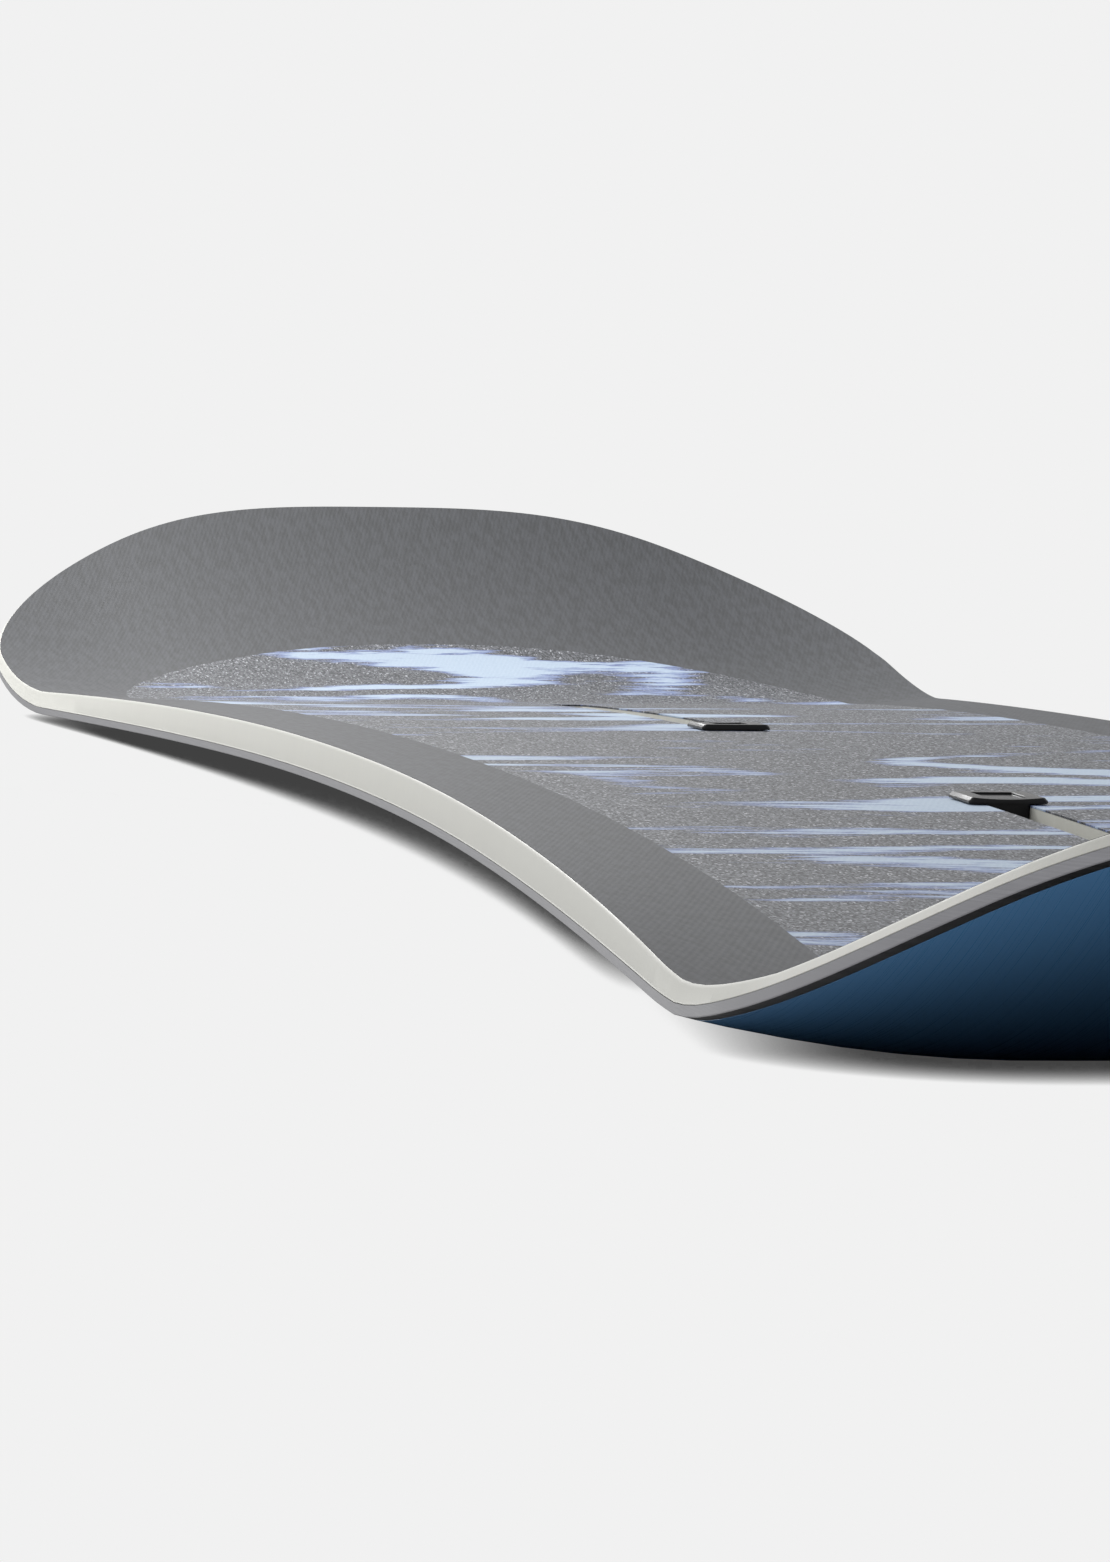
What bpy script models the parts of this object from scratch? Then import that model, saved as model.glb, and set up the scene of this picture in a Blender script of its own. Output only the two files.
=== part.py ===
"""Snowboard with two binding channels: a pressed sandwich of separate layers.

Units are metres. +X points to the nose, +Y to the left edge and +Z up. The origin is on the floor,
under the middle of the board. Every layer is drawn flat from the rim's outline, cut along shared
lines, and then lifted onto the cambered and spooned surface of the base.
"""
import math
from bisect import bisect_right
from collections import namedtuple
from functools import lru_cache

import bmesh
import bpy
from mathutils import Vector

# Plan of the board
HALF_LENGTH = 0.780
WAIST_HALF_WIDTH = 0.1228
SIDECUT_EASE = 0.88          # share of the side after which the sidecut eases into the widest point

# Height of the base over the floor
CAMBER = 0.0095
SPOON_LENGTH = 0.580         # from where the edges begin to lift to the end of the board
SPOON_EASE = 0.540           # length in which that lift grows
FLAT_BAND = 0.095            # half width of the band that stays flat across

# The two ends. length runs from the widest point to the end, and upturn from the floor contact to
# the end. flare is what the half width grows by from the waist, and spoon the lift of the edges.
# The shares shape the tip's outline, and slope is the upturn's final gradient.
Tip = namedtuple("Tip", "length flare upturn bend spoon slope_ratio "
                        "shoulder_share blunt_x_share blunt_y_share end_share")
NOSE = Tip(length=0.1593, flare=0.0238, upturn=0.246, bend=0.233, spoon=0.00556, slope_ratio=0.449,
           shoulder_share=0.53, blunt_x_share=0.998, blunt_y_share=0.640, end_share=0.414)
TAIL = Tip(length=0.1761, flare=0.0295, upturn=0.213, bend=0.150, spoon=0.00892, slope_ratio=0.449,
           shoulder_share=0.226, blunt_x_share=0.880, blunt_y_share=0.902, end_share=0.689)

# Layers, from the floor upwards
JOINT = 0.0003               # bond line between two pieces
BASE_THICK = 0.0012
EDGE_HEIGHT = 0.0020
EDGE_WIDTH = 0.0020
TANG_THICK = 0.0005
TANG_LENGTH = 0.0045
LOWER_LAMINATE = 0.00035
UPPER_LAMINATE = 0.00035
TOPSHEET = 0.0004
THICK_MIDDLE = 0.0098
THICK_TIP = 0.0048
THIN_END = 0.140             # length of each end that is evenly thin
TAPER_POWER = 3.3

# Sidewalls and tip spacers
SIDEWALL_LEAN = 0.0015       # how far the side leans in from the steel to the topsheet
SIDEWALL_DEPTH = 0.0090
UPPER_LIP = 0.0017           # width of the rim that covers the upper laminate's edge
LOWER_LIP = 0.0018           # width of the rim that covers the lower laminate's edge

# Binding channels
STANCE_SHIFT = -0.0015       # the stance sits a little towards the tail
PLUG_DISTANCE = 0.1573       # from the stance's middle to the middle of each plug
CHANNEL_END = 0.4107         # from the stance's middle to the outer end of each slot
SLOT_WIDTH = 0.0100
RAIL_WIDTH = 0.0220
RAIL_WALL = 0.0025           # wall at the rail's two ends
RAIL_FLOOR = 0.0006
COLLAR_WALL = 0.0015
CAVITY_WIDTH = 0.0152

# Plugs and nuts
PLATE_LENGTH = 0.0215
PLATE_WIDTH = 0.0182
PLATE_THICK = 0.0014
PLATE_CHAMFER = 0.0008       # along the plate's two long sides
PLATE_CORNER = 0.0006
DISH_LENGTH = 0.0080         # dip in the plate's face at the slot, to lift it by
DISH_DEPTH = 0.0004
RECESS_LENGTH = 0.0145       # bare recess in the plate's face
RECESS_WIDTH = 0.0095
RECESS_DEPTH = 0.0006
KEYHOLE_LENGTH = 0.0152
KEYHOLE_WIDTH = 0.0150
RUN_GAP = 0.0003             # clearance of what lifts or slides, on each side
NUT_LENGTH = 0.0120
NUT_THICK = 0.0020
NUT_HOLE = 0.0062
NUT_CORNER = 0.0015
NUT_SPREAD = 0.0450          # between the two nuts of one channel

# Facets
SIDE_STEPS = 4               # cuts across from the middle to the spooned end
FACET_SAG = 0.00015          # how far a facet may lie off the true curve
TIP_STEPS = 14               # rim points of half a tip
SPOON_BANDS = 3              # strips of facets from the flat band to the edge
ROUND_STEPS = 3              # facets of a quarter round
DISH_STEPS = 4               # facets of the plate's dip along it, and of its half width
NUT_HOLE_SIDES = 16
LEAST_STEP = 0.003           # shortest facet that is worth a cut
SNAP = 0.0003                # a cut this near a point goes through it
CUTTER_CLEAR = 0.002         # how far a cutter stands out of what it cuts
SMOOTH_ANGLE = math.radians(25)
SAME_PLACE = 1e-6

# Named places along and across the board
SPOON_START = HALF_LENGTH - SPOON_LENGTH
SPOON_END = SPOON_START + SPOON_EASE
TAPER_END = HALF_LENGTH - THIN_END
WIDEST_EDGE = WAIST_HALF_WIDTH + max(NOSE.flare, TAIL.flare)

# Named places in the stack, measured up from the base's running surface
TANG_BOTTOM = EDGE_HEIGHT - TANG_THICK
LAMINATE_BOTTOM = EDGE_HEIGHT + JOINT
CORE_BOTTOM = LAMINATE_BOTTOM + LOWER_LAMINATE + JOINT
CAVITY_BOTTOM = CORE_BOTTOM + RAIL_FLOOR
CAVITY_TOP = CAVITY_BOTTOM + NUT_THICK + 2 * RUN_GAP
# and measured down from the topsheet's face
RIM_TOP = TOPSHEET + JOINT
CORE_TOP = RIM_TOP + UPPER_LAMINATE + JOINT
UPPER_LIP_EDGE = SIDEWALL_LEAN + UPPER_LIP


def tip_at(x):
    """The end of the board that x lies in."""
    return NOSE if x >= 0 else TAIL


def widest(tip):
    """Distance from the middle to the widest point of one end."""
    return HALF_LENGTH - tip.length


def contact(tip):
    """Distance from the middle to where the base leaves the floor."""
    return HALF_LENGTH - tip.upturn


def smooth(share):
    """Ease from 0 to 1 with level ends."""
    share = min(max(share, 0.0), 1.0)
    return share * share * (3 - 2 * share)


def curved_base(x, y):
    """Height of the running surface: camber, upturned tip and spooned edges."""
    tip = tip_at(x)
    reach = abs(x)
    camber = CAMBER * (1 - min(reach / contact(tip), 1.0) ** 2)
    past = max(reach - contact(tip), 0.0)
    if past < tip.bend:
        rise = tip.slope_ratio * past ** 2 / (2 * tip.bend)
    else:
        rise = tip.slope_ratio * (past - tip.bend / 2)
    lift = smooth((reach - SPOON_START) / SPOON_EASE)
    off_band = max(abs(y) - FLAT_BAND, 0.0) / (WIDEST_EDGE - FLAT_BAND)
    return camber + rise + tip.spoon * lift * off_band ** 2


def tapered_thickness(x):
    """Whole thickness of the sandwich, tapering towards the tips."""
    share = min(abs(x) / TAPER_END, 1.0)
    return THICK_TIP + (THICK_MIDDLE - THICK_TIP) * (1 - share ** TAPER_POWER)


@lru_cache(maxsize=None)
def cross_stations(tip):
    """Distances from the middle at which every layer is cut across, for one end."""
    stations = [SPOON_START * i / SIDE_STEPS for i in range(1, SIDE_STEPS + 1)]
    run = contact(tip) - SPOON_START
    spoon_curve = 6 * tip.spoon / SPOON_EASE ** 2
    steps = math.ceil(run / math.sqrt(8 * FACET_SAG / spoon_curve))
    stations += [SPOON_START + run * i / steps for i in range(1, steps + 1)]
    radius = tip.bend / tip.slope_ratio
    steps = math.ceil(tip.bend / math.sqrt(8 * FACET_SAG * radius))
    stations += [contact(tip) + tip.bend * i / steps for i in range(1, steps + 1)]
    if SPOON_END - stations[-1] > LEAST_STEP:
        stations.append(SPOON_END)
    return [reach for reach in stations if reach < HALF_LENGTH - LEAST_STEP]


@lru_cache(maxsize=None)
def cross_marks(tip):
    """The cuts across one end with the board's middle and its end."""
    return [0.0] + cross_stations(tip) + [HALF_LENGTH]


@lru_cache(maxsize=None)
def spoon_lines():
    """Distances from the centreline at which the spooned ends are cut along, out to the widest edge."""
    return [FLAT_BAND + (WIDEST_EDGE - FLAT_BAND) * i / SPOON_BANDS for i in range(SPOON_BANDS + 1)]


def facet(value, marks):
    """The two marks round a value and how far it lies between them."""
    index = min(bisect_right(marks, value), len(marks) - 1)
    low, high = marks[index - 1], marks[index]
    return low, high, (value - low) / (high - low)


def base_height(x, y):
    """Running surface on the triangles that all layers share, so that they nest without touching."""
    sign = 1 if x >= 0 else -1
    x0, x1, along = facet(abs(x), cross_marks(tip_at(x)))
    y0, y1, across = facet(abs(y), [0.0] + spoon_lines())
    near, far = curved_base(sign * x0, y0), curved_base(sign * x1, y1)
    if across < along:
        corner = curved_base(sign * x1, y0)
        return near + along * (corner - near) + across * (far - corner)
    corner = curved_base(sign * x0, y1)
    return near + across * (corner - near) + along * (far - corner)


def thickness(x):
    """Thickness of the sandwich on the shared facets."""
    x0, x1, along = facet(abs(x), cross_marks(tip_at(x)))
    return tapered_thickness(x0) * (1 - along) + tapered_thickness(x1) * along


def above_base(height):
    """Level at a set height over the running surface."""
    return lambda x, y: base_height(x, y) + height


def below_top(depth):
    """Level at a set depth under the topsheet's face."""
    return lambda x, y: base_height(x, y) + thickness(x) - depth


def side_half_width(reach, tip):
    """Half width of the sidecut: a parabola that eases into the widest point."""
    share = reach / widest(tip)
    scale = 1 / (SIDECUT_EASE ** 2 + (1 - SIDECUT_EASE) * SIDECUT_EASE)
    if share < SIDECUT_EASE:
        grow = scale * share ** 2
    else:
        past = share - SIDECUT_EASE
        eased = past - past ** 2 / (2 * (1 - SIDECUT_EASE))
        grow = scale * (SIDECUT_EASE ** 2 + 2 * SIDECUT_EASE * eased)
    return WAIST_HALF_WIDTH + tip.flare * grow


def tip_curve(tip, t):
    """Point on the tip's outline, a Bezier curve of five points from the widest point to the end."""
    start = widest(tip)
    half_width = WAIST_HALF_WIDTH + tip.flare
    points = [
        (start, half_width),
        (start + tip.shoulder_share * tip.length, half_width),
        (start + tip.blunt_x_share * tip.length, tip.blunt_y_share * half_width),
        (HALF_LENGTH, tip.end_share * half_width),
        (HALF_LENGTH, 0.0),
    ]
    weights = [math.comb(4, i) * (1 - t) ** (4 - i) * t ** i for i in range(5)]
    return Vector((sum(w * p[0] for w, p in zip(weights, points)),
                   sum(w * p[1] for w, p in zip(weights, points))))


def quarter_rim(tip, sign):
    """Rim points from the waist to one tip with their outward normals, on the left side."""
    near = SAME_PLACE * 10
    rim = []
    for reach in [0.0] + [s for s in cross_stations(tip) if s < widest(tip) - LEAST_STEP]:
        rise = side_half_width(reach + near, tip) - side_half_width(max(reach - near, 0), tip)
        slope = rise / (2 * near)
        normal = Vector((-slope, 1)).normalized()
        rim.append((Vector((reach, side_half_width(reach, tip))), normal))
    for i in range(TIP_STEPS + 1):
        t = i / TIP_STEPS
        along = tip_curve(tip, min(t + near, 1.0)) - tip_curve(tip, max(t - near, 0.0))
        normal = Vector((-along.y, along.x)).normalized()
        normal = Vector((abs(normal.x), abs(normal.y)))
        rim.append((tip_curve(tip, t), normal))
    return [(Vector((p.x * sign, p.y)), Vector((n.x * sign, n.y))) for p, n in rim]


def left_rim():
    """Rim points of the left side, from the tail's end to the nose's end."""
    tail = quarter_rim(TAIL, -1)
    nose = quarter_rim(NOSE, 1)
    return tail[:0:-1] + nose


def rim_offset(rim, inset):
    """Rim points moved in from the edge."""
    return [p - n * inset for p, n in rim]


def whole_outline(inset):
    """Closed outline of the board, moved in from the edge."""
    left = rim_offset(left_rim(), inset)
    right = [Vector((p.x, -p.y)) for p in left[-2:0:-1]]
    return left + right


def tip_outline(sign):
    """Closed outline of one tip beyond its widest point, as a function of the inset."""
    tip = NOSE if sign > 0 else TAIL
    rim = [entry for entry in quarter_rim(tip, sign) if abs(entry[0].x) >= widest(tip) - SAME_PLACE]

    def outline(inset):
        left = rim_offset(rim, inset)
        return left + [Vector((p.x, -p.y)) for p in left[-2::-1]]

    return outline


def bar_outline(x0, x1, half_width, corner):
    """Closed outline of a bar with round corners, as a function of the inset."""
    def outline(inset):
        low, high = min(x0, x1) + inset, max(x0, x1) - inset
        half = half_width - inset
        radius = max(corner - inset, corner * 0.1)
        points = []
        for cx, cy, turn in ((high - radius, half - radius, 0), (low + radius, half - radius, 1),
                             (low + radius, radius - half, 2), (high - radius, radius - half, 3)):
            for i in range(ROUND_STEPS + 1):
                angle = (turn + i / ROUND_STEPS) * math.pi / 2
                point = Vector((cx + radius * math.cos(angle), cy + radius * math.sin(angle)))
                if all((point - other).length > SAME_PLACE for other in points[-1:] + points[:1]):
                    points.append(point)
        return points

    return outline


def material(name, color, roughness, metallic=0.0):
    """Plain finish for one kind of piece."""
    made = bpy.data.materials.get(name)
    if made is None:
        made = bpy.data.materials.new(name)
        made.use_nodes = True
        shader = made.node_tree.nodes["Principled BSDF"]
        shader.inputs["Base Color"].default_value = (*color, 1)
        shader.inputs["Roughness"].default_value = roughness
        shader.inputs["Metallic"].default_value = metallic
    return made


def cut_faces(bm, faces, place, direction):
    """Cut some faces of a flat drawn layer along a line."""
    geom = list(faces)
    geom += list({edge for face in faces for edge in face.edges})
    geom += list({vert for face in faces for vert in face.verts})
    normal = (-direction[1], direction[0], 0)
    bmesh.ops.bisect_plane(bm, geom=geom, dist=SNAP, plane_co=(*place, 0), plane_no=normal)


def cut_for_bending(bm):
    """Cut a flat drawn layer along the edges of the shared triangles, so that it can bend there."""
    for sign, tip in ((1, NOSE), (-1, TAIL)):
        for reach in cross_stations(tip):
            cut_faces(bm, bm.faces[:], (sign * reach, 0), (0, 1))
    cut_faces(bm, bm.faces[:], (0, 0), (0, 1))
    for line in spoon_lines():
        for side in (1, -1):
            spooned = [f for f in bm.faces if abs(f.calc_center_median().x) > SPOON_START]
            cut_faces(bm, spooned, (0, side * line), (1, 0))
    cells = {}
    for face in bm.faces:
        centre = face.calc_center_median()
        if abs(centre.x) > SPOON_START and abs(centre.y) > FLAT_BAND:
            x0, x1, along = facet(abs(centre.x), cross_marks(tip_at(centre.x)))
            y0, y1, across = facet(abs(centre.y), [0.0] + spoon_lines())
            right, left = math.copysign(1, centre.x), math.copysign(1, centre.y)
            key = (right * x0, left * y0, right * (x1 - x0), left * (y1 - y0))
            cells.setdefault(key, []).append(face)
    for (x, y, run, rise), faces in cells.items():
        cut_faces(bm, faces, (x, y), (run, rise))


def add_object(name, bm, finish):
    """Close the mesh, give it its finish and put it in the scene."""
    bmesh.ops.triangulate(bm, faces=bm.faces, quad_method="FIXED")
    bmesh.ops.recalc_face_normals(bm, faces=bm.faces)
    mesh = bpy.data.meshes.new(name)
    bm.to_mesh(mesh)
    bm.free()
    if finish:
        mesh.materials.append(finish)
    mesh.shade_smooth()
    mesh.set_sharp_from_angle(angle=SMOOTH_ANGLE)
    made = bpy.data.objects.new(name, mesh)
    bpy.context.scene.collection.objects.link(made)
    return made


def skin_rings(bm, rings):
    """Bridge a row of point rings and close both ends."""
    loops = []
    for ring in rings:
        verts = [bm.verts.new(point) for point in ring]
        loops.append([bm.edges.new((a, b)) for a, b in zip(verts, verts[1:] + verts[:1])])
    for first, second in zip(loops, loops[1:]):
        bmesh.ops.bridge_loops(bm, edges=first + second)
    for loop in (loops[0], loops[-1]):
        bmesh.ops.contextual_create(bm, geom=loop)


def lift(bm, levels):
    """Move the points of a flat drawn body from their level numbers to the heights of those levels."""
    for vert in bm.verts:
        below = min(int(vert.co.z), len(levels) - 2)
        low = levels[below](vert.co.x, vert.co.y)
        high = levels[below + 1](vert.co.x, vert.co.y)
        vert.co.z = low + (high - low) * (vert.co.z - below)


def layer(name, outline, loops, levels, finish=None, bend=True):
    """Body drawn flat as a stack of outlines and then lifted onto its levels.

    outline gives the closed outline for an inset, loops are (inset, level number) from the bottom
    cap round to the top cap, and levels are the heights that the numbers stand for.
    """
    bm = bmesh.new()
    skin_rings(bm, [[(p.x, p.y, level) for p in outline(inset)] for inset, level in loops])
    if bend:
        cut_for_bending(bm)
    lift(bm, levels)
    return add_object(name, bm, finish)


def sheet(name, outline, inset, bottom, top, finish=None):
    """Plain layer of even outline between two levels."""
    return layer(name, outline, [(inset, 0), (inset, 1)], [bottom, top], finish)


def swept_strip(name, rim, side, section, levels, finish):
    """Strip of even section along the rim on one side; the section is a list of (inset, level number)."""
    bm = bmesh.new()
    rings = []
    for point, normal in rim:
        places = [(point - normal * inset, level) for inset, level in section]
        rings.append([(place.x, side * max(place.y, JOINT / 2), level) for place, level in places])
    skin_rings(bm, rings)
    cut_for_bending(bm)
    lift(bm, levels)
    return add_object(name, bm, finish)


def use_shape(target, other, operation):
    """Cut another shape out of a piece, or join it on; the other shape is only a guide."""
    other.hide_render = True
    other.display_type = "WIRE"
    modifier = target.modifiers.new(other.name, "BOOLEAN")
    modifier.operation = operation
    modifier.solver = "EXACT"
    modifier.object = other


def cut_out(target, *cutters):
    """Take the cutters' shapes out of a piece."""
    for cutter in cutters:
        use_shape(target, cutter, "DIFFERENCE")


Span = namedtuple("Span", "sign plug key_in key_out slot_start slot_end rail_in rail_out")


def channel_span(sign):
    """Where one channel's plug and slot lie along the board."""
    plug = STANCE_SHIFT + sign * PLUG_DISTANCE
    slot_end = STANCE_SHIFT + sign * CHANNEL_END
    key_in = plug - sign * KEYHOLE_LENGTH / 2
    return Span(sign=sign, plug=plug, key_in=key_in, key_out=plug + sign * KEYHOLE_LENGTH / 2,
                slot_start=plug + sign * PLATE_LENGTH / 2, slot_end=slot_end,
                rail_in=key_in - sign * RAIL_WALL, rail_out=slot_end + sign * RAIL_WALL)


def slot_cutters(name, span, grow):
    """Cutters for a slot and its keyhole, down to the underside of the rail's lips."""
    bottom, top = above_base(CAVITY_TOP - JOINT), below_top(-CUTTER_CLEAR)
    slot_half = SLOT_WIDTH / 2 + grow
    slot = bar_outline(span.plug, span.slot_end + span.sign * grow, slot_half, slot_half)
    key_grow = min(grow, JOINT)
    key_in, key_out = span.key_in - span.sign * key_grow, span.key_out + span.sign * key_grow
    key = bar_outline(key_in, key_out, KEYHOLE_WIDTH / 2 + key_grow, NUT_CORNER)
    return sheet(name + "_slot", slot, 0, bottom, top), sheet(name + "_keyhole", key, 0, bottom, top)


def make_base_and_edges(blue, steel, glass):
    """Running base, the two steel edges round it, and the ply that levels their tangs."""
    sheet("base_sheet", whole_outline, EDGE_WIDTH + JOINT, above_base(0), above_base(BASE_THICK), blue)
    tang_end = EDGE_WIDTH + TANG_LENGTH
    section = [(0, 0), (EDGE_WIDTH, 0), (EDGE_WIDTH, 1), (tang_end, 1), (tang_end, 2), (0, 2)]
    levels = [above_base(0), above_base(TANG_BOTTOM), above_base(EDGE_HEIGHT)]
    for name, side in (("edge_left", 1), ("edge_right", -1)):
        swept_strip(name, left_rim(), side, section, levels, steel)
    sheet("edge_fill_ply", whole_outline, tang_end + JOINT, above_base(TANG_BOTTOM),
          above_base(EDGE_HEIGHT), glass)
    sheet("lower_laminate", whole_outline, LOWER_LIP + JOINT, above_base(LAMINATE_BOTTOM),
          above_base(LAMINATE_BOTTOM + LOWER_LAMINATE), glass)


def side_rim():
    """Rim between the two widest points, where the sidewalls and the core meet the tip spacers."""
    rim = [entry for entry in left_rim()
           if -widest(TAIL) - SAME_PLACE < entry[0].x < widest(NOSE) + SAME_PLACE]
    rim[0] = (rim[0][0] + Vector((JOINT, 0)), rim[0][1])
    rim[-1] = (rim[-1][0] - Vector((JOINT, 0)), rim[-1][1])
    return rim


def make_sides(cream):
    """Sidewalls and tip spacers, stepped at both faces so that the laminates lie inside a full rim."""
    levels = [above_base(LAMINATE_BOTTOM), above_base(CORE_BOTTOM), below_top(CORE_TOP), below_top(RIM_TOP)]
    section = [(0, 0), (LOWER_LIP, 0), (LOWER_LIP, 1), (SIDEWALL_DEPTH, 1), (SIDEWALL_DEPTH, 2),
               (UPPER_LIP_EDGE, 2), (UPPER_LIP_EDGE, 3), (SIDEWALL_LEAN, 3)]
    for name, side in (("sidewall_left", 1), ("sidewall_right", -1)):
        swept_strip(name, side_rim(), side, section, levels, cream)
    lower = sheet("lower_pocket", whole_outline, LOWER_LIP,
                  above_base(LAMINATE_BOTTOM - CUTTER_CLEAR), levels[1])
    upper = sheet("upper_pocket", whole_outline, UPPER_LIP_EDGE,
                  levels[2], below_top(-CUTTER_CLEAR))
    for name, sign in (("nose_spacer", 1), ("tail_spacer", -1)):
        spacer = layer(name, tip_outline(sign), [(0, 0), (SIDEWALL_LEAN, 1)], [levels[0], levels[3]], cream)
        cut_out(spacer, lower, upper)


def strip_outline(rim, inner):
    """Closed outline between the sidewall's inner face and a line beside the centre."""
    def outline(inset):
        outer = rim_offset(rim, SIDEWALL_DEPTH + JOINT + inset)
        inner_line = [Vector((p.x, inner)) for p in (outer[-1], outer[0])]
        return outer + inner_line

    return outline


def make_core(wood, light_wood):
    """Wood core: a strip on each side, and centre strips before, between and behind the rails."""
    bottom, top = above_base(CORE_BOTTOM), below_top(CORE_TOP)
    centre_half = RAIL_WIDTH / 2
    left = strip_outline(side_rim(), centre_half + JOINT)
    right = lambda inset: [Vector((p.x, -p.y)) for p in left(inset)]
    sheet("core_left", left, 0, bottom, top, wood)
    sheet("core_right", right, 0, bottom, top, wood)
    nose, tail = channel_span(1), channel_span(-1)
    ends = {
        "core_centre_nose": (nose.rail_out + JOINT, widest(NOSE) - JOINT),
        "core_centre_middle": (tail.rail_in + JOINT, nose.rail_in - JOINT),
        "core_centre_tail": (JOINT - widest(TAIL), tail.rail_out - JOINT),
    }
    for name, (low, high) in ends.items():
        corners = ((low, -centre_half), (high, -centre_half), (high, centre_half), (low, centre_half))
        strip = [Vector(corner) for corner in corners]
        sheet(name, lambda inset, points=strip: points, 0, bottom, top, light_wood)


def make_rail(name, span, cutters, cream):
    """Channel rail: a closed trough whose lips hold the nuts down, with a collar that lines the slot."""
    sign = span.sign
    body = bar_outline(span.rail_in, span.rail_out, RAIL_WIDTH / 2, RAIL_WALL)
    rail = sheet(name, body, 0, above_base(CORE_BOTTOM), below_top(CORE_TOP), cream)
    collar_half = SLOT_WIDTH / 2 + COLLAR_WALL
    lining = bar_outline(span.key_out, span.slot_end + sign * COLLAR_WALL, collar_half, collar_half)
    collar = sheet(name + "_collar", lining, 0, below_top(CORE_TOP + COLLAR_WALL / 2), below_top(RIM_TOP))
    trough = bar_outline(span.key_in - sign * JOINT, span.slot_end, CAVITY_WIDTH / 2, NUT_CORNER)
    cavity = sheet(name + "_cavity", trough, 0, above_base(CAVITY_BOTTOM), above_base(CAVITY_TOP))
    use_shape(rail, collar, "UNION")
    cut_out(rail, cavity, *cutters)
    return rail


def make_top(cutters, wide_cutters, glass, sheet_finish):
    """Upper laminate and topsheet, open over the two channels."""
    laminate = sheet("upper_laminate", whole_outline, UPPER_LIP_EDGE + JOINT,
                     below_top(CORE_TOP - JOINT), below_top(RIM_TOP), glass)
    top = sheet("topsheet", whole_outline, SIDEWALL_LEAN, below_top(TOPSHEET), below_top(0), sheet_finish)
    cut_out(laminate, *wide_cutters)
    cut_out(top, *cutters)


def flat_bar(name, outline, loops, finish=None):
    """Small rigid piece: a stack of outlines at plain heights."""
    heights = sorted({height for inset, height in loops})
    levels = [lambda x, y, height=height: height for height in heights]
    return layer(name, outline, [(inset, heights.index(height)) for inset, height in loops], levels, finish,
                 bend=False)


def seat(item, x, height):
    """Put a rigid piece on the board at x, tilted to the camber there."""
    run = NUT_LENGTH / 2
    slope = (base_height(x + run, 0) - base_height(x - run, 0)) / (2 * run)
    item.location = (x, 0, height)
    item.rotation_euler = (0, -math.atan(slope), 0)


def plate_section(along, sign):
    """Section across the plug's plate, this far from its middle towards the slot."""
    top = JOINT + PLATE_THICK
    half = PLATE_WIDTH / 2 - max(abs(along) + PLATE_CORNER - PLATE_LENGTH / 2, 0.0)
    dip = DISH_DEPTH * smooth(1 - (PLATE_LENGTH / 2 - along) / DISH_LENGTH)
    points = [(-half, JOINT), (half, JOINT), (half, top - PLATE_CHAMFER)]
    for i in range(2 * DISH_STEPS + 1):
        across = 1 - i / DISH_STEPS
        points.append((across * (half - PLATE_CHAMFER), top - dip * (1 - across ** 2)))
    points.append((-half, top - PLATE_CHAMFER))
    return [(along * sign, y, z) for y, z in points]


def make_plate(name, sign, finish):
    """Plate with chamfered sides whose face dips at the slot."""
    end = PLATE_LENGTH / 2
    dish = [end - DISH_LENGTH * (1 - i / DISH_STEPS) for i in range(DISH_STEPS)]
    places = [-end, PLATE_CORNER - end] + dish + [end - PLATE_CORNER, end]
    bm = bmesh.new()
    skin_rings(bm, [plate_section(along, sign) for along in places])
    return add_object(name, bm, finish)


def make_plug(name, span, black):
    """Plug: a plate over the keyhole, a foot in the keyhole and a tongue in the slot's start."""
    plate_top = JOINT + PLATE_THICK
    plate = make_plate(name, span.sign, black)
    recess_outline = bar_outline(-RECESS_LENGTH / 2, RECESS_LENGTH / 2, RECESS_WIDTH / 2, PLATE_CORNER)
    recess = flat_bar(name + "_recess", recess_outline,
                      [(0, plate_top - RECESS_DEPTH), (0, plate_top + CUTTER_CLEAR)])
    depth = thickness(span.plug) - CAVITY_BOTTOM - JOINT
    overlap = JOINT + PLATE_THICK / 3
    foot_end = KEYHOLE_LENGTH / 2 - RUN_GAP
    foot_outline = bar_outline(-foot_end, foot_end, KEYHOLE_WIDTH / 2 - RUN_GAP, NUT_CORNER)
    foot = flat_bar(name + "_foot", foot_outline, [(0, -depth), (0, overlap)])
    tongue_end = PLATE_LENGTH / 2 - RUN_GAP
    tongue_outline = bar_outline(0, span.sign * tongue_end, SLOT_WIDTH / 2 - RUN_GAP, RUN_GAP)
    tongue = flat_bar(name + "_tongue", tongue_outline, [(0, -depth), (0, overlap / 2)])
    for item in (plate, recess, foot, tongue):
        seat(item, span.plug, base_height(span.plug, 0) + thickness(span.plug))
    cut_out(plate, recess)
    use_shape(plate, foot, "UNION")
    use_shape(plate, tongue, "UNION")


def make_nut(name, x, zinc):
    """Channel nut: a flat block with round corners and a hole for the binding screw."""
    outline = bar_outline(-NUT_LENGTH / 2, NUT_LENGTH / 2, KEYHOLE_WIDTH / 2 - RUN_GAP, NUT_CORNER)
    nut = flat_bar(name, outline, [(0, 0), (0, NUT_THICK)], zinc)
    radius = NUT_HOLE / 2
    bm = bmesh.new()
    bmesh.ops.create_cone(bm, cap_ends=True, segments=NUT_HOLE_SIDES, radius1=radius, radius2=radius,
                          depth=NUT_THICK * 2)
    bmesh.ops.translate(bm, verts=bm.verts, vec=(0, 0, NUT_THICK / 2))
    hole = add_object(name + "_hole", bm, None)
    for item in (nut, hole):
        seat(item, x, base_height(x, 0) + CAVITY_BOTTOM + RUN_GAP)
    cut_out(nut, hole)


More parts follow.
